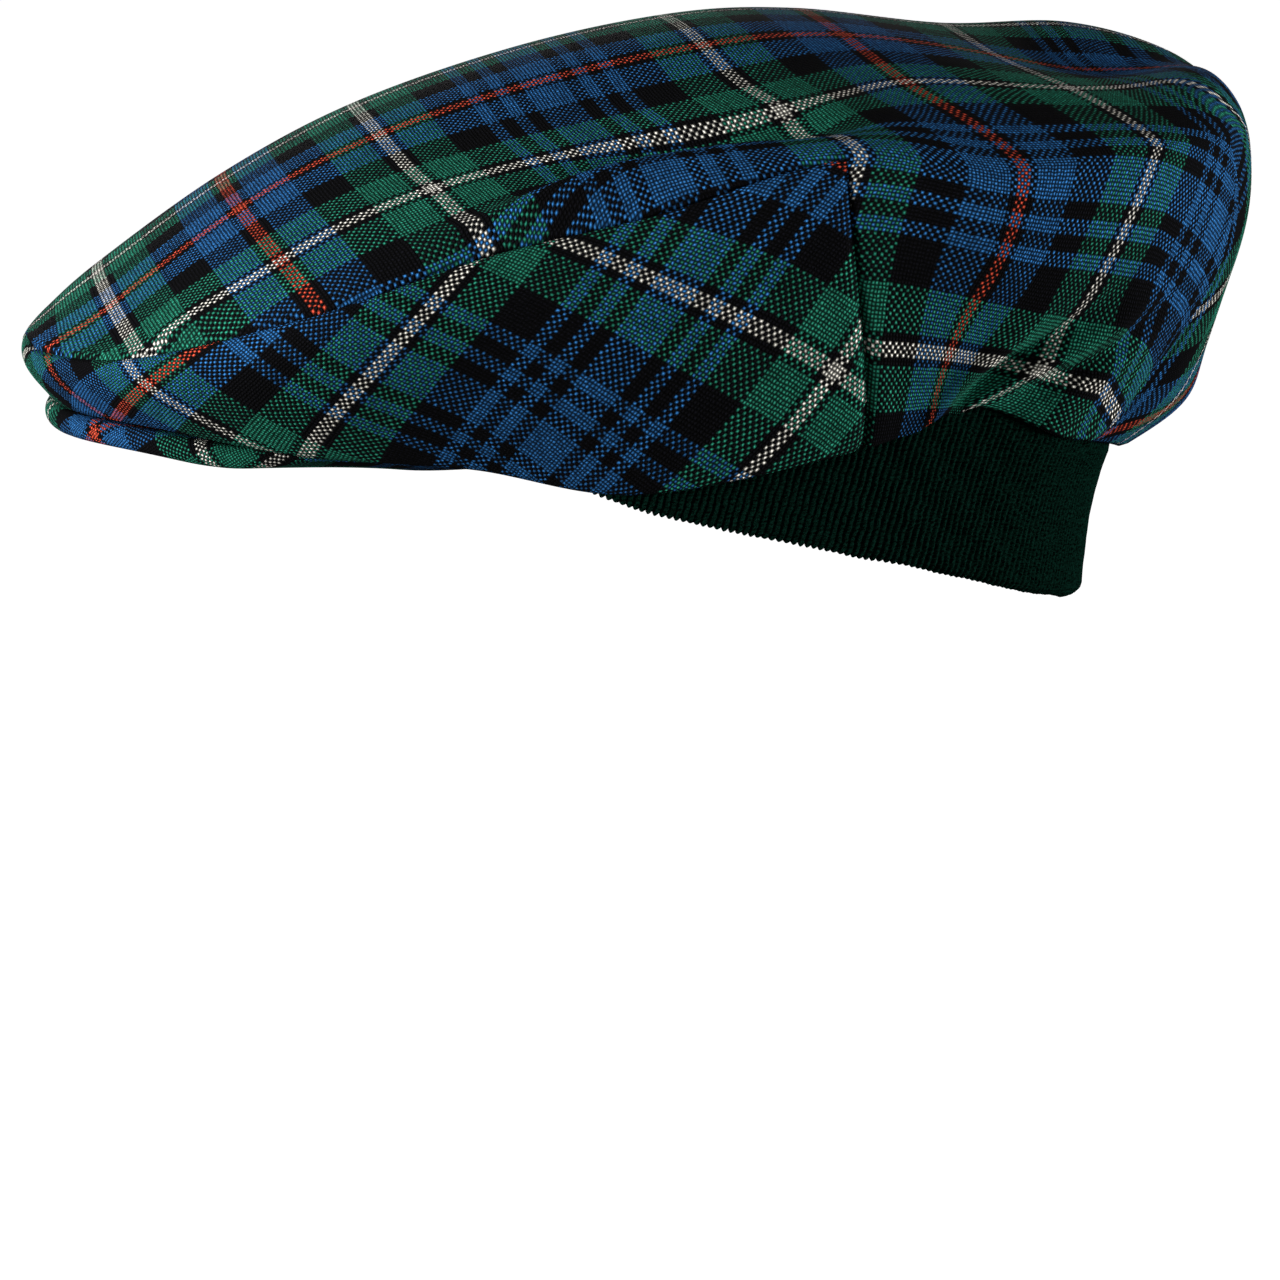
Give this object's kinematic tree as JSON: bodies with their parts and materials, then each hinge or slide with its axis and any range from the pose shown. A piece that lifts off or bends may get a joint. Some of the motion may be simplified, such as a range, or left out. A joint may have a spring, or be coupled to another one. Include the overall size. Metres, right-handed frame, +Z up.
{
  "type": "flat_cap",
  "caption": "Flat cap of tartan cloth with a stiff short peak and a full gathered back, and a rib-knit band that folds down over the ears and nape to keep the head warm.",
  "frame": {"origin": "middle of the head opening, at the height of the hem", "axes": "-Y is the way the wearer looks (the peak), +X the wearer's left, +Z up"},
  "size_m": [0.2356, 0.2869, 0.1374],
  "materials": {
    "tartan_cloth": "plain-woven wool tartan, matt",
    "rib_knit": "ribbed wool knit, matt and slightly fuzzy"
  },
  "bodies": {
    "root": {"crown_top": "tartan_cloth", "side_panel_left": "tartan_cloth", "side_panel_right": "tartan_cloth", "peak": "tartan_cloth", "knit_band": "rib_knit"}
  },
  "joints": []
}
